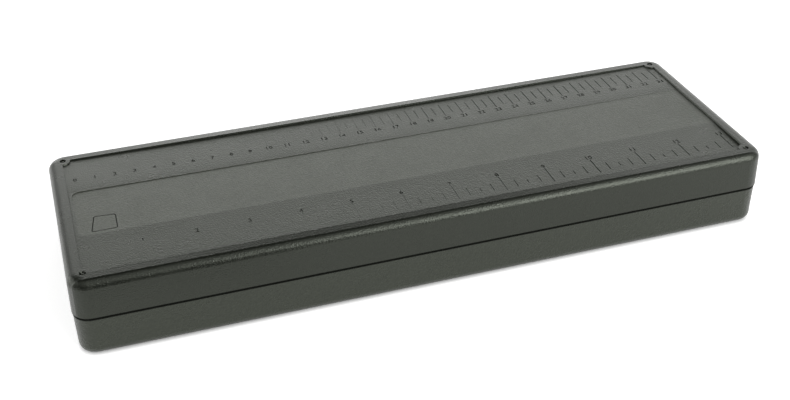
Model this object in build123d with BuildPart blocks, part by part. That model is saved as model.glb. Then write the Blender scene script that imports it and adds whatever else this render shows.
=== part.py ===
"""Rig box: a flat two-part case that keeps tied fishing rigs straight.

The base and the lid are drafted mouldings, hinged along the rear and held shut by magnets at the
front. A ruler panel lies in the lid's top. Each half carries a rig board with a slotted foam for
the hooks and a plain foam for the pins. Millimetres, +X to the right, +Y to the hinge, +Z up, and
the origin is the middle of the underside.
"""
import os

from build123d import *

os.makedirs("parts", exist_ok=True)

# Case
case_length = 354.4
case_width = 119.4
corner_radius = 9.0
base_height = 20.55
lid_height = 20.15
parting_gap = 1.2
base_step = 0.4
base_draft = 0.8
lid_draft = 1.2
wall = 2.4
floor_thickness = 2.2
top_plate = 1.6
bottom_edge_radius = 4.2
top_edge_radius = 4.6

# Lip of the base, which stands inside the lid's skirt
lip_height = 2.1
lip_thickness = 1.0
lip_clearance = 0.25

# Rim of the lid and the ruler panel that lies inside it
rim_width = 7.6
rim_height = 1.1
panel_thickness = 1.6
panel_clearance = 0.15
corner_boss_radius = 3.7

# Channel along the middle of the ruler panel: a ramp, flush at the front and deepest at the rear
channel_front_y = -20.5
channel_rear_y = 20.0
channel_end_margin = 1.7
channel_depth = 0.5

# Engraved rulers: inches along the front strip, centimetres along the rear one
inch = 25.4
inch_count = 13
centimetre = 10.0
centimetre_count = 33
tick_start = 34.1
tick_length = 12.9
tick_width = 0.45
tick_depth = 0.35
inch_tick_span = [(0, 1), (0.14, 0.63), (0.25, 0.46), (0.14, 0.63)]
centimetre_tick_span = [(0, 1), (0.18, 0.83)]

# Rear hinge: two groups of knuckles, each on its own steel pin
hinge_end_inset = 62.2
hinge_pin_radius = 1.0
hinge_running_clearance = 0.05
knuckle_radius = 2.4
knuckle_width = 14.0
knuckle_count = 3
knuckle_gap = 0.3
knuckle_clearance = 0.3
knuckle_gusset = 4.0
hinge_pin_recess = 0.5

# Rig boards, the same moulding in both halves, and the posts they rest on
board_thickness = 2.0
board_clearance = 1.0
board_height = 8.2
post_side = 6.6
post_rows = 4

# Corner pins, pressed through the shells' posts into the boards
corner_pin_radius = 1.6
corner_pin_inset = 8.0
corner_pin_recess = 0.2
corner_pin_end_gap = 0.4

# Foams on the boards
lane_count = 8
lane_pitch = 12.0
foam_side_margin = 8.0
hook_foam_length = 44.0
hook_foam_height = 8.0
hook_slot_width = 1.0
hook_slot_depth = 4.5
pin_foam_length = 146.0
pin_foam_height = 4.5
foam_end_margin = 8.6
foam_frame_height = 1.2
foam_frame_width = 1.4

# Rig pins, which stand in the pin foam
pin_blade_side = 1.3
pin_blade_length = 3.6
pin_collar_radius = 1.9
pin_collar_sides = 8
pin_collar_height = 0.7
pin_neck_height = 1.5
pin_bar_length = 3.6
pin_bar_height = 0.9
pin_column_count = 4
pin_column_pitch = 30.0
first_pin_margin = 24.0

# Magnets at the front
magnet_end_inset = 87.2
magnet_length = 16.0
magnet_width = 4.0
magnet_height = 3.0
magnet_wall = 1.4
magnet_clearance = 0.1
magnet_cap_height = 0.8
magnet_cap_margin = 0.8
magnet_face_gap = 0.1
magnet_notch_gap = 0.5

# Levels and sizes that follow from the values above
lid_bottom = base_height + parting_gap
lid_top = lid_bottom + lid_height
base_length = case_length - 2 * base_step
base_width = case_width - 2 * base_step
base_corner_radius = corner_radius - base_step
hinge_y = case_width / 2 + knuckle_clearance + knuckle_radius
hinge_z = base_height + parting_gap / 2
hinge_length = knuckle_count * (knuckle_width + knuckle_gap) - knuckle_gap
panel_top = lid_top - rim_height
panel_seat = panel_top - panel_thickness
ceiling = panel_seat - top_plate
board_top = board_height + board_thickness
lid_board_bottom = 2 * hinge_z - board_top
lid_board_top = 2 * hinge_z - board_height
recess_length = case_length - 2 * rim_width
recess_width = case_width - 2 * rim_width
corner_x = case_length / 2 - corner_pin_inset
corner_y = case_width / 2 - corner_pin_inset
board_inset = base_step + wall + board_clearance
board_length = case_length - 2 * board_inset
board_width = case_width - 2 * board_inset
board_corner_radius = corner_radius - board_inset
foam_width = board_width - 2 * foam_side_margin
hook_foam_x = (hook_foam_length - board_length) / 2 + foam_end_margin
hook_foam_top = board_top + hook_foam_height
pin_foam_x = (board_length - pin_foam_length) / 2 - foam_end_margin
pin_foam_top = board_top + pin_foam_height
magnet_boss_length = magnet_length + 2 * magnet_wall
magnet_boss_inner_y = wall + 2 * magnet_wall + magnet_width - base_width / 2
magnet_boss_outer_y = wall / 2 - base_width / 2
magnet_y = magnet_boss_inner_y - magnet_wall - magnet_width / 2
magnet_top = base_height - magnet_face_gap - magnet_cap_height
lid_magnet_bottom = 2 * hinge_z - magnet_top
lip_length = base_length - 2 * (wall - lip_thickness)
lip_width = base_width - 2 * (wall - lip_thickness)
lip_radius = base_corner_radius - wall + lip_thickness
cavity_length = base_length - 2 * wall
cavity_width = base_width - 2 * wall
cavity_radius = base_corner_radius - wall

# Places that repeat
hinge_x = case_length / 2 - hinge_end_inset
hinge_stations = (-hinge_x, hinge_x)
corner_centres = [(x, y) for x in (-corner_x, corner_x) for y in (-corner_y, corner_y)]
post_centres = [
    ((2 * row / (post_rows - 1) - 1) * corner_x, y)
    for row in range(post_rows)
    for y in (-corner_y, corner_y)
]
magnet_x = case_length / 2 - magnet_end_inset
magnet_columns = (-magnet_x, magnet_x)
lane_offsets = [(lane - (lane_count - 1) / 2) * lane_pitch for lane in range(lane_count)]
first_pin_x = pin_foam_x - pin_foam_length / 2 + first_pin_margin
rig_pin_centres = [
    (first_pin_x + (lane % pin_column_count) * pin_column_pitch, y)
    for lane, y in enumerate(lane_offsets)
]


def outline(length, width, radius, level):
    """Rounded rectangle at a level."""
    with BuildSketch(Plane.XY.offset(level)) as sketch:
        RectangleRounded(length, width, radius)
    return sketch.sketch


def bars(length, width, level, centres):
    """Rectangles at a level, one on each centre."""
    with BuildSketch(Plane.XY.offset(level)) as sketch:
        with Locations(*centres):
            Rectangle(length, width)
    return sketch.sketch


def discs(radius, level, centres):
    """Circles at a level, one on each centre."""
    with BuildSketch(Plane.XY.offset(level)) as sketch:
        with Locations(*centres):
            Circle(radius)
    return sketch.sketch


def magnet_bars(margin, level):
    """Magnet outlines at a level, grown by a margin on every side."""
    return bars(
        magnet_length + 2 * margin,
        magnet_width + 2 * margin,
        level,
        [(x, magnet_y) for x in magnet_columns],
    )


def magnet_bosses(level):
    """Outlines of the magnet bosses, which run out into the front wall."""
    middle_y = (magnet_boss_inner_y + magnet_boss_outer_y) / 2
    return bars(
        magnet_boss_length,
        magnet_boss_inner_y - magnet_boss_outer_y,
        level,
        [(x, middle_y) for x in magnet_columns],
    )


def hinge_discs(radius):
    """Circles on the hinge axis at the left end of each station."""
    circles = []
    for station_x in hinge_stations:
        with BuildSketch(Plane.YZ.offset(station_x - hinge_length / 2)) as sketch:
            with Locations((hinge_y, hinge_z)):
                Circle(radius)
        circles.extend(sketch.sketch.faces())
    return circles


def knuckle_profiles(indices, wall_y, gusset_side):
    """End faces of the knuckles, with gussets down (-1) or up (+1) the rear wall."""
    pitch = knuckle_width + knuckle_gap
    gusset_near = hinge_z + gusset_side * parting_gap / 2
    gusset_far = hinge_z + gusset_side * knuckle_radius
    profiles = []
    for station_x in hinge_stations:
        for index in indices:
            middle = station_x + (index - (knuckle_count - 1) / 2) * pitch
            with BuildSketch(Plane.YZ.offset(middle - knuckle_width / 2)) as profile:
                with BuildLine():
                    Polyline(
                        (wall_y, gusset_near),
                        (hinge_y, gusset_near),
                        (hinge_y, gusset_far),
                        (wall_y, gusset_far + gusset_side * knuckle_gusset),
                        close=True,
                    )
                make_face()
                with Locations((hinge_y, hinge_z)):
                    Circle(knuckle_radius)
            profiles.append(profile.sketch)
    return profiles


# Base shell: drafted tray with a lip round its edge, posts for the board and magnet bosses
with BuildPart() as base_shell:
    extrude(
        outline(base_length, base_width, base_corner_radius, base_height),
        amount=-base_height,
        taper=base_draft,
    )
    fillet(base_shell.faces().sort_by(Axis.Z)[0].edges(), bottom_edge_radius)
    extrude(outline(lip_length, lip_width, lip_radius, base_height), amount=lip_height)
    for profile in knuckle_profiles(range(0, knuckle_count, 2), base_width / 2 - wall / 2, -1):
        extrude(profile, amount=knuckle_width)
    extrude(
        outline(cavity_length, cavity_width, cavity_radius, base_height),
        amount=lip_height,
        mode=Mode.SUBTRACT,
    )
    extrude(
        outline(cavity_length, cavity_width, cavity_radius, base_height),
        amount=floor_thickness - base_height,
        taper=base_draft,
        mode=Mode.SUBTRACT,
    )
    extrude(
        bars(post_side, post_side, floor_thickness, post_centres),
        amount=board_height - floor_thickness,
    )
    extrude(magnet_bosses(floor_thickness), amount=magnet_top + magnet_cap_height - floor_thickness)
    extrude(hinge_discs(hinge_pin_radius), amount=hinge_length, mode=Mode.SUBTRACT)
    extrude(discs(corner_pin_radius, 0, corner_centres), amount=board_height, mode=Mode.SUBTRACT)
    extrude(
        magnet_bars(magnet_clearance, magnet_top), amount=-magnet_height, mode=Mode.SUBTRACT
    )
    extrude(
        magnet_bars(magnet_cap_margin, magnet_top), amount=magnet_cap_height, mode=Mode.SUBTRACT
    )

# Lid shell: drafted cover with a rim and corner bosses round the panel's seat
with BuildPart() as lid_shell:
    extrude(
        outline(case_length, case_width, corner_radius, lid_bottom),
        amount=lid_height,
        taper=lid_draft,
    )
    fillet(lid_shell.faces().sort_by(Axis.Z)[-1].edges(), top_edge_radius)
    for profile in knuckle_profiles(range(1, knuckle_count, 2), case_width / 2 - wall / 2, 1):
        extrude(profile, amount=knuckle_width)
    with BuildSketch(Plane.XY.offset(panel_seat)):
        Rectangle(recess_length, recess_width)
        with Locations(*corner_centres):
            Circle(corner_boss_radius, mode=Mode.SUBTRACT)
    extrude(amount=lid_top - panel_seat, mode=Mode.SUBTRACT)
    extrude(
        outline(
            case_length - 2 * wall, case_width - 2 * wall, corner_radius - wall, lid_bottom
        ),
        amount=ceiling - lid_bottom,
        taper=lid_draft,
        mode=Mode.SUBTRACT,
    )
    extrude(
        bars(post_side, post_side, lid_board_top, post_centres),
        amount=ceiling - lid_board_top,
    )
    lid_boss_bottom = lid_magnet_bottom - magnet_cap_height
    extrude(magnet_bosses(lid_boss_bottom), amount=ceiling - lid_boss_bottom)
    with BuildSketch(Plane.XY.offset(lid_bottom)):
        RectangleRounded(
            lip_length + 2 * lip_clearance,
            lip_width + 2 * lip_clearance,
            lip_radius + lip_clearance,
        )
        RectangleRounded(
            cavity_length - 2 * lip_clearance,
            cavity_width - 2 * lip_clearance,
            cavity_radius - lip_clearance,
            mode=Mode.SUBTRACT,
        )
    extrude(amount=lip_height, mode=Mode.SUBTRACT)
    extrude(
        hinge_discs(hinge_pin_radius + hinge_running_clearance),
        amount=hinge_length,
        mode=Mode.SUBTRACT,
    )
    extrude(
        discs(corner_pin_radius, lid_board_top, corner_centres),
        amount=lid_top - lid_board_top,
        mode=Mode.SUBTRACT,
    )
    extrude(
        magnet_bars(magnet_clearance, lid_magnet_bottom), amount=magnet_height, mode=Mode.SUBTRACT
    )
    extrude(
        magnet_bars(magnet_cap_margin, lid_magnet_bottom),
        amount=-magnet_cap_height,
        mode=Mode.SUBTRACT,
    )

# Ruler panel: flat insert with a shallow ramped channel and two engraved scales
with BuildPart() as ruler_panel:
    with BuildSketch(Plane.XY.offset(panel_seat)):
        Rectangle(recess_length - 2 * panel_clearance, recess_width - 2 * panel_clearance)
        with Locations(*corner_centres):
            Circle(corner_boss_radius + panel_clearance, mode=Mode.SUBTRACT)
    extrude(amount=panel_thickness)
    channel_length = recess_length - 2 * channel_end_margin
    with BuildSketch(Plane.YZ.offset(-channel_length / 2)):
        with BuildLine():
            Polyline(
                (channel_front_y, panel_top),
                (channel_rear_y, panel_top),
                (channel_rear_y, panel_top - channel_depth),
                close=True,
            )
        make_face()
    extrude(amount=channel_length, mode=Mode.SUBTRACT)
    with BuildSketch(Plane.XY.offset(panel_top)):
        for quarter in range(4 * inch_count + 1):
            near, far = inch_tick_span[quarter % 4]
            y = (near + far) / 2 * tick_length - tick_start - tick_length
            with Locations(((quarter / 4 - inch_count / 2) * inch, y)):
                Rectangle(tick_width, (far - near) * tick_length)
        for half in range(2 * centimetre_count + 1):
            near, far = centimetre_tick_span[half % 2]
            y = (near + far) / 2 * tick_length + tick_start
            with Locations(((half - centimetre_count) * centimetre / 2, y)):
                Rectangle(tick_width, (far - near) * tick_length)
    extrude(amount=-tick_depth, mode=Mode.SUBTRACT)

# Rig board: plate on the posts, with frames that locate the two foams
with BuildPart() as base_rig_board:
    with BuildSketch(Plane.XY.offset(board_height)):
        RectangleRounded(board_length, board_width, board_corner_radius)
        notch_length = magnet_boss_length + 2 * magnet_notch_gap
        notch_depth = board_width / 2 + magnet_boss_inner_y + magnet_notch_gap
        with Locations(*[(x, -board_width / 2) for x in magnet_columns]):
            Rectangle(notch_length, 2 * notch_depth, mode=Mode.SUBTRACT)
        with Locations(*corner_centres):
            Circle(corner_pin_radius, mode=Mode.SUBTRACT)
    extrude(amount=board_thickness)
    with BuildSketch(Plane.XY.offset(board_top)):
        for x, length in ((hook_foam_x, hook_foam_length), (pin_foam_x, pin_foam_length)):
            with Locations((x, 0)):
                Rectangle(length + 2 * foam_frame_width, foam_width + 2 * foam_frame_width)
                Rectangle(length, foam_width, mode=Mode.SUBTRACT)
    extrude(amount=foam_frame_height)

# Hook foam: block with one slot for each rig's line, open at both ends
with BuildPart() as base_hook_foam:
    extrude(
        bars(hook_foam_length, foam_width, board_top, [(hook_foam_x, 0)]), amount=hook_foam_height
    )
    slot_centres = [(hook_foam_x, y) for y in lane_offsets]
    extrude(
        bars(hook_foam_length, hook_slot_width, hook_foam_top, slot_centres),
        amount=-hook_slot_depth,
        mode=Mode.SUBTRACT,
    )

# Pin foam: flat block that grips the pins' blades
with BuildPart() as base_pin_foam:
    extrude(
        bars(pin_foam_length, foam_width, board_top, [(pin_foam_x, 0)]), amount=pin_foam_height
    )
    extrude(
        bars(pin_blade_side, pin_blade_side, pin_foam_top, rig_pin_centres),
        amount=-pin_blade_length,
        mode=Mode.SUBTRACT,
    )

# Rig pins: blade in the foam, eight-sided collar on it, and a crossbar that holds the rig's loop
with BuildPart() as base_rig_pins:
    collar_top = pin_foam_top + pin_collar_height
    extrude(
        bars(pin_blade_side, pin_blade_side, pin_foam_top - pin_blade_length, rig_pin_centres),
        amount=pin_blade_length,
    )
    with BuildSketch(Plane.XY.offset(pin_foam_top)):
        with Locations(*rig_pin_centres):
            RegularPolygon(pin_collar_radius, pin_collar_sides)
    extrude(amount=pin_collar_height)
    extrude(
        bars(pin_blade_side, pin_blade_side, collar_top, rig_pin_centres), amount=pin_neck_height
    )
    extrude(
        bars(pin_blade_side, pin_bar_length, collar_top + pin_neck_height, rig_pin_centres),
        amount=pin_bar_height,
    )

# Corner pins of the base, pressed in from below
with BuildPart() as base_corner_pins:
    extrude(
        discs(corner_pin_radius, corner_pin_recess, corner_centres),
        amount=board_top - corner_pin_end_gap - corner_pin_recess,
    )

# Corner pins of the lid, seen from above in their bosses
with BuildPart() as lid_corner_pins:
    pin_top = lid_top - corner_pin_recess
    extrude(
        discs(corner_pin_radius, pin_top, corner_centres),
        amount=lid_board_bottom + corner_pin_end_gap - pin_top,
    )

# Magnets and the caps that close their pockets
with BuildPart() as base_magnets:
    extrude(magnet_bars(0, magnet_top), amount=-magnet_height)

with BuildPart() as base_magnet_caps:
    extrude(magnet_bars(magnet_cap_margin, magnet_top), amount=magnet_cap_height)

# Hinge pins, one through each group of knuckles
with BuildPart() as hinge_pin_right:
    with BuildSketch(Plane.YZ.offset(hinge_x - hinge_length / 2 + hinge_pin_recess)):
        with Locations((hinge_y, hinge_z)):
            Circle(hinge_pin_radius)
    extrude(amount=hinge_length - 2 * hinge_pin_recess)

with BuildPart() as hinge_pin_left:
    mirror(hinge_pin_right.part, about=Plane.YZ)

pieces = {
    "base_shell": base_shell,
    "lid_shell": lid_shell,
    "ruler_panel": ruler_panel,
    "base_rig_board": base_rig_board,
    "base_hook_foam": base_hook_foam,
    "base_pin_foam": base_pin_foam,
    "base_rig_pins": base_rig_pins,
    "base_corner_pins": base_corner_pins,
    "lid_corner_pins": lid_corner_pins,
    "base_magnets": base_magnets,
    "base_magnet_caps": base_magnet_caps,
    "hinge_pin_left": hinge_pin_left,
    "hinge_pin_right": hinge_pin_right,
}

# The lid's inner pieces are the base's own, turned over about the parting plane
for name in ("rig_board", "hook_foam", "pin_foam", "rig_pins", "magnets", "magnet_caps"):
    with BuildPart() as turned_over:
        mirror(pieces["base_" + name].part, about=Plane.XY.offset(hinge_z))
    pieces["lid_" + name] = turned_over

for name, piece in pieces.items():
    piece.part.label = name
    export_step(piece.part, f"parts/{name}.step")
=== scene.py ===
from math import exp, radians

import bmesh
import bpy
from mathutils import Matrix, Vector


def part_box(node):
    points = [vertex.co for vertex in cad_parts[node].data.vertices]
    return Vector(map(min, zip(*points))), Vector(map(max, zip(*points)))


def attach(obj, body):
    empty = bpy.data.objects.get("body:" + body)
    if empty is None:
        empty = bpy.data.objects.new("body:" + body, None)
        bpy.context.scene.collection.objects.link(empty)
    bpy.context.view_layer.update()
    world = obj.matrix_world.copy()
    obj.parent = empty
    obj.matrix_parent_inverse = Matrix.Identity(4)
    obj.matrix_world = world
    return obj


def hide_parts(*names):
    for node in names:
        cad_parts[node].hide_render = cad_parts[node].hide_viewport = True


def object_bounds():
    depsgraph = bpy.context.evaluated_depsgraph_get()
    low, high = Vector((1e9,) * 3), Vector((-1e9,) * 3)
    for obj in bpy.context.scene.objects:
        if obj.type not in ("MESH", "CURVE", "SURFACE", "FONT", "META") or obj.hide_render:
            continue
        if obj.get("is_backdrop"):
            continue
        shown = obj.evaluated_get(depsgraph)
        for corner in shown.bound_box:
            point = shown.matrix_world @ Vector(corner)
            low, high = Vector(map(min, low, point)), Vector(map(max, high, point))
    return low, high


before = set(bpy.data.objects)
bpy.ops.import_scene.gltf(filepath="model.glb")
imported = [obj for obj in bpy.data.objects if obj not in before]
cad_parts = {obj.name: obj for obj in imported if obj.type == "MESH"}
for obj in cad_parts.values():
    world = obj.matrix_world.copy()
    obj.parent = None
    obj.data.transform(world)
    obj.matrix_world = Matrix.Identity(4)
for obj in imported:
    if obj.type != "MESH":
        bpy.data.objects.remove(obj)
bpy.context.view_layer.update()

# Base and lid shells. Injection-moulded tray and cover of near-black olive plastic with a satin,
# spark-eroded skin. They meet at a fine line all round, where the mating edges lie in shade, and a
# band of painted shade darkens and dulls the colour along that line. The lid's rim is crowned and
# turns sharply at its long edges, and the walls of its recess lean.
shell_colour, lid_colour = (0.0190, 0.0215, 0.0158), (0.0080, 0.0090, 0.0066)
shell_tint = (0.93, 1.0, 0.86)
shell_roughness, gloss_swing, gloss_scale = 0.28, 0.03, 90
mottle_dark, mottle_pale, mottle_scale = 0.7, 1.3, 900
noise_range = (0.3, 0.7)
wave_scale, wave_height, wave_strength = 22, 0.0004, 0.35
grain_size, grain_strength = 0.0007, 0.6
base_grain_depth, lid_grain_depth = 0.00040, 0.00022
# Painted shade at the parting line: the band's middle level and half-width, and how dark and how
# rough it is painted.
parting_level, seam_shade_half = 0.02115, 0.00085
seam_shade_darkness, seam_roughness = 0.1, 0.9
rim_inner_y, crown_width, crown_height = 0.0521, 0.0045, 0.0005
crown_middle_x, crown_fade, crown_fall = -0.02, (0.04, 0.15), (-1, -0.27)
edge_width, edge_height = 0.0070, 0.000245
edge_profile = [
    (0, 0.09), (0.09, 0), (0.371, 0), (0.443, 0.11), (0.514, 0.444), (0.586, 1), (0.714, 0.81),
    (0.771, 0.55), (0.886, 0.10), (1, 0),
]
recess_x, recess_x_soft = 0.1700, 0.0001
recess_y, recess_y_soft = 0.0515, 0.00095
recess_low, recess_high, recess_lean = 0.0408, 0.0419, 0.00060


def feed(tree, node, inputs):
    """Gives inputs of a shader node their values, or links them to other nodes' outputs."""
    for socket, value in inputs.items():
        if isinstance(value, bpy.types.NodeSocket):
            tree.links.new(value, node.inputs[socket])
        else:
            node.inputs[socket].default_value = value
    return node


def add_node(tree, kind, inputs, **settings):
    """Adds a shader node with its settings and inputs."""
    node = tree.nodes.new(kind)
    for name, value in settings.items():
        setattr(node, name, value)
    return feed(tree, node, inputs)


def maths(tree, operation, *inputs):
    """The result of one operation on one, two or three values."""
    node = add_node(tree, "ShaderNodeMath", dict(enumerate(inputs)), operation=operation)
    return node.outputs["Value"]


def ranged(tree, value, start, end, low=0, high=1, **settings):
    """Turns what lies between start and end into what lies between low and high."""
    inputs = {"Value": value, "From Min": start, "From Max": end, "To Min": low, "To Max": high}
    return add_node(tree, "ShaderNodeMapRange", inputs, **settings).outputs["Result"]


def mixed(tree, sort, factor, first, second, **settings):
    """A mix of two colours or of two numbers."""
    inputs = {"Factor": factor, "A": first, "B": second}
    return add_node(tree, "ShaderNodeMix", inputs, data_type=sort, **settings).outputs["Result"]


def grey_ramp(tree, source, levels, interpolation):
    """A grey that follows the given levels as its source goes from 0 to 1."""
    node = add_node(tree, "ShaderNodeValToRGB", {"Fac": source})
    node.color_ramp.interpolation = interpolation
    while len(node.color_ramp.elements) < len(levels):
        node.color_ramp.elements.new(0.5)
    for element, (position, level) in zip(node.color_ramp.elements, levels):
        element.position = position
        element.color = (level, level, level, 1)
    return node.outputs["Color"]


def noise(tree, place, scale, detail):
    """Soft noise, scale times finer than a metre."""
    inputs = {"Vector": place, "Scale": scale, "Detail": detail}
    return add_node(tree, "ShaderNodeTexNoise", inputs).outputs["Fac"]


def bump(tree, height, distance, below=None, strength=1):
    """Relief of a given height, on top of the relief below it."""
    inputs = {"Height": height, "Distance": distance, "Strength": strength}
    if below is not None:
        inputs["Normal"] = below
    return add_node(tree, "ShaderNodeBump", inputs).outputs["Normal"]


def new_material(name):
    """A material, its nodes and its shader."""
    material = bpy.data.materials.new(name)
    material.use_nodes = True
    return material, material.node_tree, material.node_tree.nodes["Principled BSDF"]


def place_on_piece(tree):
    """The place on the piece, which its patterns follow."""
    return add_node(tree, "ShaderNodeTexCoord", {}).outputs["Object"]


def shade(colour, factor):
    """A darker or paler form of a colour."""
    return (*[factor * channel for channel in colour], 1)


def lid_relief(tree, split, below):
    """The lid's crowned rim, its sharp long edges and the lean of its recess walls."""
    along = maths(tree, "ABSOLUTE", split.outputs["X"])
    across = maths(tree, "ABSOLUTE", split.outputs["Y"])
    over_rim = ranged(tree, across, rim_inner_y, rim_inner_y + crown_width)
    from_middle = maths(tree, "ABSOLUTE", maths(tree, "ADD", split.outputs["X"], -crown_middle_x))
    fade = ranged(tree, from_middle, *crown_fade, *crown_fall, interpolation_type="SMOOTHSTEP")
    relief = bump(tree, maths(tree, "MULTIPLY", over_rim, fade), crown_height, below)
    over_edge = ranged(tree, across, rim_inner_y, rim_inner_y + edge_width)
    turn = grey_ramp(tree, over_edge, edge_profile, "LINEAR")
    relief = bump(tree, turn, edge_height, relief)
    leaning = ranged(tree, split.outputs["Z"], recess_low, recess_high, 1, 0)
    for distance, limit, soft in (
        (along, recess_x, recess_x_soft), (across, recess_y, recess_y_soft)
    ):
        within = ranged(tree, distance, limit, limit + soft, 1, 0)
        leaning = maths(tree, "MULTIPLY", leaning, within)
    return bump(tree, leaning, recess_lean, relief)


def moulded_plastic(name, colour, roughness, grain_size, grain_depth, paints_seam_shade=False, crowned=False):
    """Satin plastic: mottled colour, uneven gloss, a fine eroded grain and faint flow waves, and
    where asked a band of painted shade along the parting line.
    """
    material, tree, shader = new_material(name)
    place = place_on_piece(tree)
    split = add_node(tree, "ShaderNodeSeparateXYZ", {"Vector": place})
    mottling = ranged(tree, noise(tree, place, mottle_scale, detail=4), *noise_range)
    skin = mixed(tree, "RGBA", mottling, shade(colour, mottle_dark), shade(colour, mottle_pale))
    gloss = ranged(
        tree, noise(tree, place, gloss_scale, detail=5), *noise_range,
        roughness - gloss_swing, roughness + gloss_swing,
    )
    # Painted shade: a band round the parting line is darkened in colour and dulled in gloss.
    if paints_seam_shade:
        seam_shade_mask = maths(tree, "COMPARE", split.outputs["Z"], parting_level, seam_shade_half)
        skin = mixed(tree, "RGBA", seam_shade_mask, skin, shade(colour, seam_shade_darkness))
        gloss = mixed(tree, "FLOAT", seam_shade_mask, gloss, seam_roughness)
    waves = noise(tree, place, wave_scale, detail=1)
    relief = bump(tree, waves, wave_height, strength=wave_strength)
    if crowned:
        relief = lid_relief(tree, split, relief)
    grain = noise(tree, place, 1 / grain_size, detail=1)
    relief = bump(tree, grain, grain_depth, relief, grain_strength)
    feed(tree, shader, {
        "Base Color": skin, "Roughness": gloss, "Normal": relief, "IOR": 1.5,
        "Specular Tint": (*shell_tint, 1),
    })
    return material


def paint(material, *names):
    """Gives carried-over solids their finish."""
    for name in names:
        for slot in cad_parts[name].material_slots:
            slot.material = material


shell_plastic = moulded_plastic(
    "shell_plastic", shell_colour, shell_roughness, grain_size, base_grain_depth, paints_seam_shade=True
)
lid_plastic = moulded_plastic(
    "lid_plastic", lid_colour, shell_roughness, grain_size, lid_grain_depth, paints_seam_shade=True,
    crowned=True,
)
paint(shell_plastic, "base_shell")
paint(lid_plastic, "lid_shell")

# Rig boards and magnet caps. Plain black plates in both halves that carry the foams, and small
# caps glued over the magnets' pockets. Same plastic as the shells, with a duller skin.
board_colour, board_roughness = (0.014, 0.015, 0.014), 0.5
board_grain_size, board_grain_depth = 0.0005, 0.00003
board_plastic = moulded_plastic(
    "board_plastic", board_colour, board_roughness, board_grain_size, board_grain_depth
)
paint(board_plastic, "base_rig_board", "lid_rig_board", "base_magnet_caps", "lid_magnet_caps")

# Magnets. Nickel-plated bars in the front wall's bosses, closed in by their caps. Those of the lid
# and the base face each other, and hold the lid shut.
nickel_colour, nickel_roughness = (0.62, 0.61, 0.58, 1), 0.22
nickel, tree, shader = new_material("nickel")
feed(tree, shader, {
    "Base Color": nickel_colour, "Metallic": 1, "Roughness": nickel_roughness,
})
paint(nickel, "base_magnets", "lid_magnets")

# Hook foams. Blocks of black closed-cell foam glued in the boards' frames, with one knife slit
# for each rig's line. The edges are cut and slightly soft.
hook_foam_low, hook_foam_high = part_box("base_hook_foam")
slit_count, slit_pitch = 8, 0.012
slit_mouth, slit_foot, slit_depth = 0.0011, 0.0002, 0.0045
hook_foam_round, hook_foam_smooth = 0.00035, 40
foam_colour, foam_dark, foam_pale = (0.030, 0.031, 0.030), 0.7, 1.35
foam_roughness, foam_sheen, cloud_scale = 0.85, 0.15, 140
cell_scale, cell_depth, cell_strength = 1300, 0.00015, 0.8
merge_distance = 0.000002
sharp_turn = radians(30)

foam, tree, shader = new_material("black_foam")
place = place_on_piece(tree)
clouds = noise(tree, place, cloud_scale, detail=4)
cells = add_node(tree, "ShaderNodeTexVoronoi", {"Vector": place, "Scale": cell_scale})
feed(tree, shader, {
    "Base Color": mixed(
        tree, "RGBA", clouds, shade(foam_colour, foam_dark), shade(foam_colour, foam_pale)
    ),
    "Roughness": foam_roughness,
    "Sheen Weight": foam_sheen,
    "Normal": bump(tree, cells.outputs["Distance"], cell_depth, strength=cell_strength),
})


def finish_piece(name, shape, material, smooth_angle):
    """Turns a bmesh into a named piece with its finish."""
    bmesh.ops.remove_doubles(shape, verts=shape.verts, dist=merge_distance)
    shape.normal_update()
    bmesh.ops.recalc_face_normals(shape, faces=shape.faces[:])
    mesh = bpy.data.meshes.new(name)
    shape.to_mesh(mesh)
    shape.free()
    mesh.materials.append(material)
    mesh.shade_smooth()
    mesh.set_sharp_from_angle(angle=radians(smooth_angle))
    piece = bpy.data.objects.new(name, mesh)
    bpy.context.collection.objects.link(piece)
    return piece


def turn_over(shape):
    """The lid's copy of a piece: the base's own, mirrored about the parting plane."""
    for vert in shape.verts:
        vert.co.z = 2 * parting_level - vert.co.z


def soften(shape, radius, segments):
    """Rounds every edge that turns sharply."""
    edges = [
        edge for edge in shape.edges if edge.is_manifold and edge.calc_face_angle() > sharp_turn
    ]
    bmesh.ops.bevel(
        shape, geom=edges, offset=radius, segments=segments, profile=0.5, affect="EDGES",
        material=-1, clamp_overlap=True,
    )


for half in ("base", "lid"):
    shape = bmesh.new()
    foot = hook_foam_high.z - slit_depth
    outline = [(hook_foam_low.y, hook_foam_high.z)]
    for slit in range(slit_count):
        y = (slit - (slit_count - 1) / 2) * slit_pitch
        outline += [
            (y - slit_mouth / 2, hook_foam_high.z), (y - slit_foot / 2, foot),
            (y + slit_foot / 2, foot), (y + slit_mouth / 2, hook_foam_high.z),
        ]
    outline += [
        (hook_foam_high.y, hook_foam_high.z), (hook_foam_high.y, hook_foam_low.z),
        (hook_foam_low.y, hook_foam_low.z),
    ]
    end = shape.faces.new([shape.verts.new((hook_foam_low.x, y, z)) for y, z in outline])
    pulled = bmesh.ops.extrude_face_region(shape, geom=[end])["geom"]
    bmesh.ops.translate(
        shape, vec=(hook_foam_high.x - hook_foam_low.x, 0, 0),
        verts=[part for part in pulled if isinstance(part, bmesh.types.BMVert)],
    )
    bmesh.ops.recalc_face_normals(shape, faces=shape.faces[:])
    soften(shape, hook_foam_round, segments=3)
    if half == "lid":
        turn_over(shape)
    piece = finish_piece(half + "_hook_foam_block", shape, foam, hook_foam_smooth)
    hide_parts(half + "_hook_foam")
    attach(piece, half)

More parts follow.
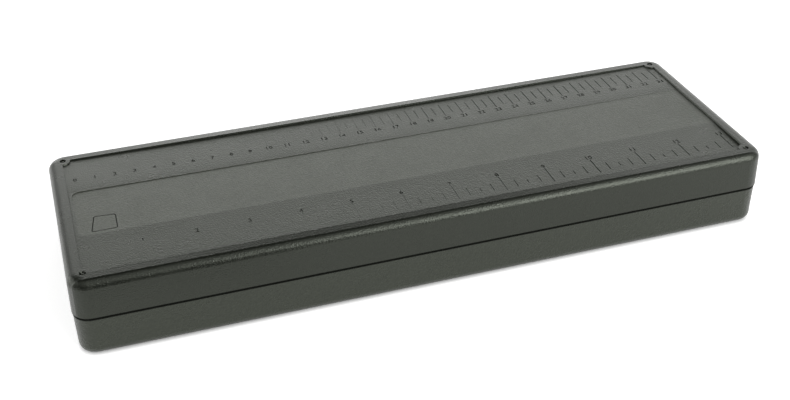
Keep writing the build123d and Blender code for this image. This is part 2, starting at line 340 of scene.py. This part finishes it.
# Pin foams. Thinner blocks of the same foam, glued in the boards' second frames. The rig pins are
# pushed in by hand, so the skin dips a little round each of them.
pin_foam_low, pin_foam_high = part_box("base_pin_foam")
pin_foam_round, pin_foam_smooth = 0.0006, 50
lane_count, lane_pitch = 8, 0.012
row_count, row_pitch, first_row_x = 4, 0.030, 0.0428
pin_places = [
    (first_row_x + (lane % row_count) * row_pitch, (lane - (lane_count - 1) / 2) * lane_pitch)
    for lane in range(lane_count)
]
dip_radius, dip_depth, dip_pitch, skin_thickness = 0.0034, 0.00035, 0.0012, 0.0001


def add_block(shape, size, middle):
    """Adds a plain block to a shape and gives its vertices."""
    matrix = Matrix.Translation(middle) @ Matrix.Diagonal((*size, 1))
    return bmesh.ops.create_cube(shape, size=1, matrix=matrix)["verts"]


def cut_across(shape, axis, level):
    """Divides a shape's faces where they cross a plane."""
    normal = Vector((axis == 0, axis == 1, 0))
    everything = shape.verts[:] + shape.edges[:] + shape.faces[:]
    bmesh.ops.bisect_plane(shape, geom=everything, plane_co=level * normal, plane_no=normal)


for half in ("base", "lid"):
    shape = bmesh.new()
    add_block(shape, pin_foam_high - pin_foam_low, (pin_foam_high + pin_foam_low) / 2)
    soften(shape, pin_foam_round, segments=3)
    for axis in (0, 1):
        for step in range(1, int((pin_foam_high - pin_foam_low)[axis] / dip_pitch)):
            level = pin_foam_low[axis] + step * dip_pitch
            if min(abs(level - place[axis]) for place in pin_places) < dip_radius:
                cut_across(shape, axis, level)
    for vert in shape.verts:
        if vert.co.z > pin_foam_high.z - skin_thickness:
            for x, y in pin_places:
                away = ((vert.co.x - x) ** 2 + (vert.co.y - y) ** 2) ** 0.5 / dip_radius
                if away < 1:
                    vert.co.z -= dip_depth * (1 - away**2) ** 2
    if half == "lid":
        turn_over(shape)
    piece = finish_piece(half + "_pin_foam_block", shape, foam, pin_foam_smooth)
    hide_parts(half + "_pin_foam")
    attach(piece, half)

# Rig pins. Small pale moulded pins: a flat blade in the foam, a round collar on it, and a crossbar
# that holds the rig's loop. They stand in four rows, for rigs of four lengths.
pin_colour, pin_roughness = (0.36, 0.37, 0.34), 0.32
pin_grain_size, pin_grain_depth = 0.0006, 0.00001
blade_size, blade_taper = (0.0011, 0.0013, 0.0036), 0.35
collar_radius, collar_height = 0.0019, 0.0007
neck_foot_radius, neck_top_radius, neck_height, neck_middle = 0.00075, 0.0006, 0.0018, 0.0015
bar_size, bar_level = (0.0013, 0.0036, 0.0009), 0.00265
pin_round, pin_smooth = 0.00022, 35
pin_plastic = moulded_plastic(
    "pin_plastic", pin_colour, pin_roughness, pin_grain_size, pin_grain_depth
)


def join_into(shape, part):
    """Adds a finished part to a shape."""
    mesh = bpy.data.meshes.new("part")
    part.to_mesh(mesh)
    part.free()
    shape.from_mesh(mesh)
    bpy.data.meshes.remove(mesh)


for half in ("base", "lid"):
    shape = bmesh.new()
    for x, y in pin_places:
        part = bmesh.new()
        blade = add_block(part, blade_size, (0, 0, -blade_size[2] / 2))
        tip = [vert for vert in blade if vert.co.z < -blade_size[2] / 2]
        bmesh.ops.scale(part, vec=(blade_taper, blade_taper, 1), verts=tip)
        bmesh.ops.create_cone(
            part, cap_ends=True, segments=28, radius1=collar_radius, radius2=collar_radius,
            depth=collar_height, matrix=Matrix.Translation((0, 0, collar_height / 2)),
        )
        bmesh.ops.create_cone(
            part, cap_ends=True, segments=16, radius1=neck_foot_radius, radius2=neck_top_radius,
            depth=neck_height, matrix=Matrix.Translation((0, 0, neck_middle)),
        )
        add_block(part, bar_size, (0, 0, bar_level))
        soften(part, pin_round, segments=2)
        bmesh.ops.translate(part, vec=(x, y, pin_foam_high.z), verts=part.verts)
        join_into(shape, part)
    if half == "lid":
        turn_over(shape)
    piece = finish_piece(half + "_moulded_pins", shape, pin_plastic, pin_smooth)
    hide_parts(half + "_rig_pins")
    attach(piece, half)

# Hinge pins. Two bright steel wires pressed through the rear knuckles. They were drawn along their
# length, which leaves fine lines in their gloss.
steel_colour, steel_gloss, drawing_scale = (0.55, 0.55, 0.54, 1), (0.2, 0.45), (40, 4000, 4000)
steel, tree, shader = new_material("drawn_steel")
stretched = add_node(
    tree, "ShaderNodeMapping", {"Vector": place_on_piece(tree), "Scale": drawing_scale}
)
drawing = noise(tree, stretched.outputs["Vector"], 1, detail=2)
feed(tree, shader, {
    "Base Color": steel_colour, "Metallic": 1,
    "Roughness": ranged(tree, drawing, 0, 1, *steel_gloss),
})
paint(steel, "hinge_pin_left", "hinge_pin_right")

# Ruler panel. A moulded insert in the lid's top, glued inside the rim. It has pulled up a little at
# its ends and down at its front edge. Its channel is a shallow ramp that is flush at the front and
# deepest at the rear. Ticks, numbers and a small frame are sunk in it.
panel_low, panel_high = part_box("ruler_panel")
panel_end, panel_smooth = 0.16958, 10
panel_roughness, panel_grain_depth = 0.30, 0.00034
channel_colour, channel_roughness = (0.050, 0.054, 0.044), 0.40
# The frame's groove is coloured much darker than the panel: painted shade in the groove.
groove_shade_colour, groove_roughness, groove_grain_depth = (0.0060, 0.0066, 0.0054), 0.8, 0.00005
channel_finish, groove_finish = 1, 2
boss_x, boss_y, boss_gap_radius, boss_gap_height = 0.1692, 0.0517, 0.00385, 0.006
end_rise, left_end_rise = 0.0003, 0.0002
sag, sag_reach = 0.00022, 0.14
front_sag, front_sag_reach = 0.0002, 0.25
rear_fall, left_rear_fall, front_fall = -0.00005, 0.0002, 0.00045
lip_y, lip_width, lip_fall = -0.0513, 0.0007, 0.00008
channel_front, channel_rear, channel_left = -0.0205, 0.0200, -0.1679
channel_left_depth, channel_right_depth = 0.00034, 0.0001
channel_round, fillet_height, fillet_width = 0.004, 0.00008, 0.003
length_slices = (0, -0.16, 0.02, 17)
width_slices = [
    (1, channel_front, 0, 1), (1, -0.0516, 0.0003, 2), (1, -0.048, 0.0034, 8),
    (1, channel_rear, 0.00152, 8), (1, 0.0345, 0.0050, 4),
]
above = 0.001


def share_along(x):
    """How far along the panel x lies, from 0 at its left end to 1 at its right end."""
    return (x / panel_end + 1) / 2


def panel_surface(x, y):
    """Height of the panel's upper face: sagging, raised at the ends and falling to the front."""
    end = min(abs(x) / panel_high.x, 1) ** 2
    left = (1 - x / panel_high.x) / 2
    back = max(0, (y - channel_rear) / (panel_high.y - channel_rear))
    front = max(0, (y - channel_front) / (panel_low.y - channel_front))
    lip = max(0, (lip_y - y) / lip_width)
    rise = (end_rise + left_end_rise * left) * end
    dip = sag * exp(-back / sag_reach) + front_sag * (1 - exp(-front / front_sag_reach))
    fall = (left_rear_fall * left + rear_fall) * back**2 + front_fall * front + lip_fall * lip**2
    return panel_high.z + rise - dip - fall


def channel_floor(x, y):
    """Height of the channel's ramp."""
    along = share_along(x)
    depth = channel_left_depth + (channel_right_depth - channel_left_depth) * along
    ramp_fall = depth * (y - channel_front) / (channel_rear - channel_front)
    fillet = fillet_height * along * max(0, 1 - (channel_rear - y) / fillet_width) ** 2
    return panel_surface(x, 0) - ramp_fall + fillet


def slice_across(shape, axis, first, pitch, count):
    """Divides a shape's faces at even steps along an axis, so that they can follow a form."""
    for step in range(count):
        cut_across(shape, axis, first + step * pitch)


shape = bmesh.new()
panel_size = (2 * panel_end, panel_high.y - panel_low.y, panel_high.z - panel_low.z)
add_block(shape, panel_size, (panel_high + panel_low) / 2)
for slices in (length_slices, *width_slices):
    slice_across(shape, *slices)
for vert in shape.verts:
    if vert.co.z > (panel_low.z + panel_high.z) / 2:
        vert.co.z = panel_surface(vert.co.x, vert.co.y)
panel_plastic = moulded_plastic(
    "panel_plastic", shell_colour, panel_roughness, grain_size, panel_grain_depth
)
channel_plastic = moulded_plastic(
    "channel_plastic", channel_colour, channel_roughness, grain_size, panel_grain_depth
)
# Painted shade: the frame's groove gets a darker, duller plastic than the panel.
shaded_groove_plastic = moulded_plastic(
    "shaded_groove_plastic", groove_shade_colour, groove_roughness, grain_size, groove_grain_depth
)
panel = finish_piece("ruled_panel", shape, panel_plastic, panel_smooth)
panel.data.materials.append(channel_plastic)
panel.data.materials.append(shaded_groove_plastic)

# The panel's holes for the four corner bosses, and its channel. The channel runs out at the right.
cutters = bmesh.new()
for x in (-boss_x, boss_x):
    for y in (-boss_y, boss_y):
        bmesh.ops.create_cone(
            cutters, cap_ends=True, segments=64, radius1=boss_gap_radius, radius2=boss_gap_radius,
            depth=boss_gap_height, matrix=Matrix.Translation((x, y, panel_low.z + above / 2)),
        )
ramp = bmesh.new()
channel_right = panel_end + above
add_block(
    ramp, (channel_right - channel_left, channel_rear - channel_front, 2 * above),
    ((channel_left + channel_right) / 2, (channel_rear + channel_front) / 2, panel_high.z),
)
left_corners = [
    edge for edge in ramp.edges
    if abs(edge.verts[0].co.z - edge.verts[1].co.z) > above and edge.verts[0].co.x < 0
]
bmesh.ops.bevel(
    ramp, geom=left_corners, offset=channel_round, segments=6, profile=0.5, affect="EDGES",
    material=-1,
)
slice_across(ramp, *length_slices)
slice_across(ramp, 1, channel_rear - fillet_width, fillet_width / 4, 4)
for vert in ramp.verts:
    if vert.co.z < panel_high.z:
        vert.co.z = channel_floor(vert.co.x, vert.co.y)
    else:
        vert.co.z = panel_high.z + 2 * above
for face in ramp.faces:
    face.material_index = channel_finish
join_into(cutters, ramp)

# The panel's rulers: inches along the front strip, in quarters, and centimetres along the rear
# strip, in halves. Each tick is sunk, and the ticks grow shallower towards the left.
tick_width, tick_length = 0.00045, 0.0129
tick_left_depth, tick_right_depth, full_depth_at = 0.00004, 0.00036, 0.75
inch, inch_count, inch_foot, inch_numbers_y = 0.0254, 13, -0.0470, -0.03195
inch_marks = [(0, 1), (0.14, 0.63), (0.25, 0.46), (0.14, 0.63)]
centimetre, centimetre_count, centimetre_foot, centimetre_numbers_y = 0.010, 33, 0.0341, 0.0316
centimetre_marks = [(0, 1), (0.18, 0.83)]
number_height, number_depth, number_weight = 0.0030, 0.00050, 0.00005
digit_share, digit_merge = 0.72, 0.00001


def sink(verts, surface, depth):
    """Sets a cutter's foot below a surface, and its head above it."""
    for vert in verts:
        offset = above if vert.co.z > 0 else -depth
        vert.co.z = surface(vert.co.x, vert.co.y) + offset


def draw_ticks(unit, count, marks, foot):
    """The sunk ticks of one ruler, which follow the panel's surface."""
    for mark in range(count * len(marks) + 1):
        x = (mark / len(marks) - count / 2) * unit
        near, far = [foot + end * tick_length for end in marks[mark % len(marks)]]
        tick = add_block(cutters, (tick_width, far - near, 2), (x, (near + far) / 2, 0))
        fade = min(1, share_along(x) / full_depth_at) ** 3
        sink(tick, panel_surface, tick_left_depth + (tick_right_depth - tick_left_depth) * fade)


def draw_number(text, x, y):
    """One sunk number, centred on x and y. With a 4 in it, it keeps the font's own weight."""
    words = bpy.data.curves.new("number", "FONT")
    words.body = text
    words.size = number_height / digit_share
    words.align_x = "CENTER"
    words.align_y = "CENTER"
    words.extrude = 1
    words.resolution_u = 2
    words.offset = 0 if "4" in text else number_weight
    holder = bpy.data.objects.new("number", words)
    bpy.context.collection.objects.link(holder)
    bpy.context.view_layer.update()
    mesh = bpy.data.meshes.new_from_object(
        holder.evaluated_get(bpy.context.evaluated_depsgraph_get())
    )
    bpy.data.objects.remove(holder)
    bpy.data.curves.remove(words)
    glyphs = bmesh.new()
    glyphs.from_mesh(mesh)
    bpy.data.meshes.remove(mesh)
    bmesh.ops.remove_doubles(glyphs, verts=glyphs.verts, dist=digit_merge)
    middle = sum((vert.co.y for vert in glyphs.verts), 0) / len(glyphs.verts)
    bmesh.ops.translate(glyphs, vec=(x, y - middle, 0), verts=glyphs.verts)
    sink(glyphs.verts, panel_surface, number_depth)
    join_into(cutters, glyphs)


draw_ticks(inch, inch_count, inch_marks, inch_foot)
draw_ticks(centimetre, centimetre_count, centimetre_marks, centimetre_foot)
for inches in range(1, inch_count + 1):
    draw_number(str(inches), (inches - inch_count / 2) * inch, inch_numbers_y)
for centimetres in range(centimetre_count + 1):
    x = (centimetres - centimetre_count / 2) * centimetre
    draw_number(str(centimetres), x, centimetre_numbers_y)

# The panel's small frame, a fine dull groove at the channel's left end, coloured darker than the
# panel as painted shade in the groove. It crosses the channel's own cutter, so it is cut after the
# rest, in a pass of its own.
groove_corners = [(-0.1620, -0.0186), (-0.1494, -0.0184), (-0.1491, -0.0056), (-0.1597, -0.0048)]
groove_round, groove_width, groove_depth = 0.0012, 0.00050, 0.00040
groove = bmesh.new()
groove.faces.new([groove.verts.new((x, y, 0)) for x, y in groove_corners])
bmesh.ops.bevel(
    groove, geom=groove.verts[:], offset=groove_round, segments=4, profile=0.5, affect="VERTICES",
    material=-1,
)
border = bmesh.ops.inset_region(
    groove, faces=groove.faces[:], thickness=groove_width, use_boundary=True, use_even_offset=True
)["faces"]
inner = [face for face in groove.faces if face not in border]
bmesh.ops.delete(groove, geom=inner, context="FACES")
raised = bmesh.ops.extrude_face_region(groove, geom=groove.faces[:])["geom"]
for vert in [part for part in raised if isinstance(part, bmesh.types.BMVert)]:
    vert.co.z = 1
for face in groove.faces:
    face.material_index = groove_finish
sink(groove.verts, channel_floor, groove_depth)

spent = []
for name, tool in (("cutters", cutters), ("groove", groove)):
    bmesh.ops.recalc_face_normals(tool, faces=tool.faces[:])
    tool_mesh = bpy.data.meshes.new(name)
    tool.to_mesh(tool_mesh)
    tool.free()
    cutter = bpy.data.objects.new(name, tool_mesh)
    bpy.context.collection.objects.link(cutter)
    cutting = panel.modifiers.new(name, "BOOLEAN")
    cutting.operation = "DIFFERENCE"
    cutting.solver = "MANIFOLD"
    cutting.object = cutter
    spent.append(cutter)
bpy.context.view_layer.update()
cut_panel = bpy.data.meshes.new_from_object(
    panel.evaluated_get(bpy.context.evaluated_depsgraph_get())
)
panel.modifiers.clear()
panel.data = cut_panel
for cutter in spent:
    bpy.data.objects.remove(cutter)
shape = bmesh.new()
shape.from_mesh(cut_panel)
bmesh.ops.dissolve_degenerate(shape, dist=merge_distance, edges=shape.edges)
shape.to_mesh(cut_panel)
shape.free()

# The panel's upper faces are shaded as the smooth forms that they follow.
slope_step, facing_up = 0.0005, 0.9


def surface_normal(height, x, y):
    """Direction that a formed surface faces, from its slope."""
    slope_x = (height(x + slope_step, y) - height(x - slope_step, y)) / (2 * slope_step)
    slope_y = (height(x, y + slope_step) - height(x, y - slope_step)) / (2 * slope_step)
    return Vector((-slope_x, -slope_y, 1)).normalized()


facings = []
for face in cut_panel.polygons:
    height = channel_floor if face.material_index == channel_finish else panel_surface
    for corner in face.loop_indices:
        point = cut_panel.vertices[cut_panel.loops[corner].vertex_index].co
        if face.normal.z > facing_up:
            facings.append(surface_normal(height, point.x, point.y))
        else:
            facings.append(face.normal.copy())
panel.data.shade_smooth()
panel.data.normals_split_custom_set(facings)
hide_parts("ruler_panel")
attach(panel, "lid")

# Corner pins. Plastic pins pressed into the corners' bosses, each with a small round head that
# stands in a dark ring. The base has the same four from below.
ring_radius, ring_depth, pressed_smooth = 0.0016, 0.0012, 35
head_profile = [(0, 0.00005), (0.0005, 0.00008), (0.0008, 0.00025), (0.0009, ring_depth)]
for half in ("base", "lid"):
    low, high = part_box(half + "_corner_pins")
    profile = [(radius, high.z - depth) for radius, depth in head_profile]
    profile += [(ring_radius, high.z - ring_depth), (ring_radius, low.z), (0, low.z)]
    if half == "base":
        profile = [(radius, high.z + low.z - z) for radius, z in profile]
    shape = bmesh.new()
    for x in (-boss_x, boss_x):
        for y in (-boss_y, boss_y):
            verts = [shape.verts.new((x + radius, y, z)) for radius, z in profile]
            edges = [shape.edges.new(pair) for pair in zip(verts, verts[1:])]
            bmesh.ops.spin(
                shape, geom=verts + edges, cent=(x, y, 0), axis=(0, 0, 1), angle=radians(360),
                steps=40, use_merge=True,
            )
    piece = finish_piece(half + "_pressed_pins", shape, shell_plastic, pressed_smooth)
    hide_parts(half + "_corner_pins")
    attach(piece, half)

# Floor. A plain white sweep that the box lies on, a hair below it. It glows white to the camera
# and in reflections, and darkens close under the box. From below it can't be seen, and it throws
# no shade on what nearly touches it.
floor_outline = [(-2, 6), (-2, -0.15), (-0.06, -0.15), (0.10, -0.9), (2, -0.9), (2, 6)]
floor_level = -0.00005
floor_colour, floor_roughness, floor_glow = (0.85, 0.85, 0.85, 1), 0.9, 0.68
contact_reach, near_reach = 0.0022, 0.0004
white = (1, 1, 1, 1)
floor_paint, tree, shader = new_material("white_floor")
path = add_node(tree, "ShaderNodeLightPath", {}).outputs
seen = maths(tree, "MAXIMUM", path["Is Camera Ray"], path["Is Glossy Ray"])
seen = maths(tree, "MAXIMUM", seen, path["Is Transmission Ray"])
contact = add_node(tree, "ShaderNodeAmbientOcclusion", {"Distance": contact_reach}, samples=8)
glow = ranged(tree, contact.outputs["AO"], 0, 1, 0, floor_glow)
feed(tree, shader, {
    "Base Color": floor_colour, "Roughness": floor_roughness, "Specular IOR Level": 0,
    "Emission Color": white, "Emission Strength": maths(tree, "MULTIPLY", seen, glow),
})
from_below = add_node(tree, "ShaderNodeNewGeometry", {}).outputs["Backfacing"]
near = maths(tree, "LESS_THAN", path["Ray Length"], near_reach)
one_sided = add_node(tree, "ShaderNodeMixShader", {
    "Fac": maths(tree, "MAXIMUM", from_below, near),
    1: shader.outputs["BSDF"],
    2: add_node(tree, "ShaderNodeBsdfTransparent", {}).outputs["BSDF"],
})
feed(tree, tree.nodes["Material Output"], {"Surface": one_sided.outputs["Shader"]})
shape = bmesh.new()
shape.faces.new([shape.verts.new((x, y, floor_level)) for x, y in floor_outline])
floor = finish_piece("floor", shape, floor_paint, smooth_angle=30)
floor.data.shade_flat()
if floor.data.polygons[0].normal.z < 0:
    floor.data.flip_normals()
floor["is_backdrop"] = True

# Studio. White walls that are bright low down and dark overhead, brighter behind the box than
# before it, and one softbox at the front right, which gives the light band along the front edge.
behind_levels = [(0, 2.4), (0.34, 2.2), (0.53, 1.6), (0.68, 0.75), (0.84, 0.12), (1, 0.03)]
before_levels = [(0, 0.1), (0.2, 0.44), (0.5, 0.86), (0.8, 0.95), (0.93, 0.25), (1, 0.03)]
side_levels = [
    (0.17, 1), (0.22, 0.3), (0.29, 0.3), (0.45, 1), (0.62, 1), (0.75, 0.88), (0.88, 0.6),
]
before_to_behind = (-0.35, 0.35)
softbox_width, softbox_height, softbox_power = 1.5, 1.1, 33
softbox_place, softbox_target = Vector((1.12, -1.80, 0.84)), Vector((0, 0, 0.02))
world = bpy.data.worlds.new("studio")
bpy.context.scene.world = world
world.use_nodes = True
tree = world.node_tree
direction = add_node(tree, "ShaderNodeTexCoord", {}).outputs["Generated"]
split = add_node(tree, "ShaderNodeSeparateXYZ", {"Vector": direction}).outputs
behind = grey_ramp(tree, split["Z"], behind_levels, "EASE")
before = grey_ramp(tree, split["Z"], before_levels, "EASE")
share_behind = ranged(tree, split["Y"], *before_to_behind, interpolation_type="SMOOTHSTEP")
walls = mixed(tree, "RGBA", share_behind, before, behind, clamp_result=False)
sides = grey_ramp(tree, ranged(tree, split["X"], -1, 1), side_levels, "EASE")
faded = mixed(tree, "RGBA", 1, walls, sides, blend_type="MULTIPLY")
camera_ray = add_node(tree, "ShaderNodeLightPath", {}).outputs["Is Camera Ray"]
backdrop = mixed(tree, "RGBA", camera_ray, faded, white)
feed(tree, tree.nodes["Background"], {"Color": backdrop})

softbox = bpy.data.lights.new("softbox", "AREA")
softbox.shape = "RECTANGLE"
softbox.size = softbox_width
softbox.size_y = softbox_height
softbox.energy = softbox_power
softbox_object = bpy.data.objects.new("softbox", softbox)
bpy.context.collection.objects.link(softbox_object)
softbox_object.location = softbox_place
aim = softbox_target - softbox_place
softbox_object.rotation_euler = aim.to_track_quat("-Z", "Y").to_euler()

# Camera. The photograph's viewpoint, from the front left and above. Its place and its turn were
# found from the marks of the two rulers.
camera_place = (-0.1659, -0.5049, 0.3548)
camera_right = (0.95076, -0.30970, -0.01224)
camera_up = (0.17703, 0.51021, 0.84159)
camera_back = (-0.25440, -0.80234, 0.53994)
lens = bpy.data.cameras.new("camera")
lens.lens = 54.22
lens.sensor_width = 36
lens.clip_start = 0.01
lens.clip_end = 60
camera = bpy.data.objects.new("camera", lens)
bpy.context.collection.objects.link(camera)
turned = Matrix((camera_right, camera_up, camera_back)).transposed()
camera.matrix_world = Matrix.Translation(camera_place) @ turned.to_4x4()
bpy.context.scene.camera = camera
bpy.context.scene.view_settings.view_transform = "Standard"

low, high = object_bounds()
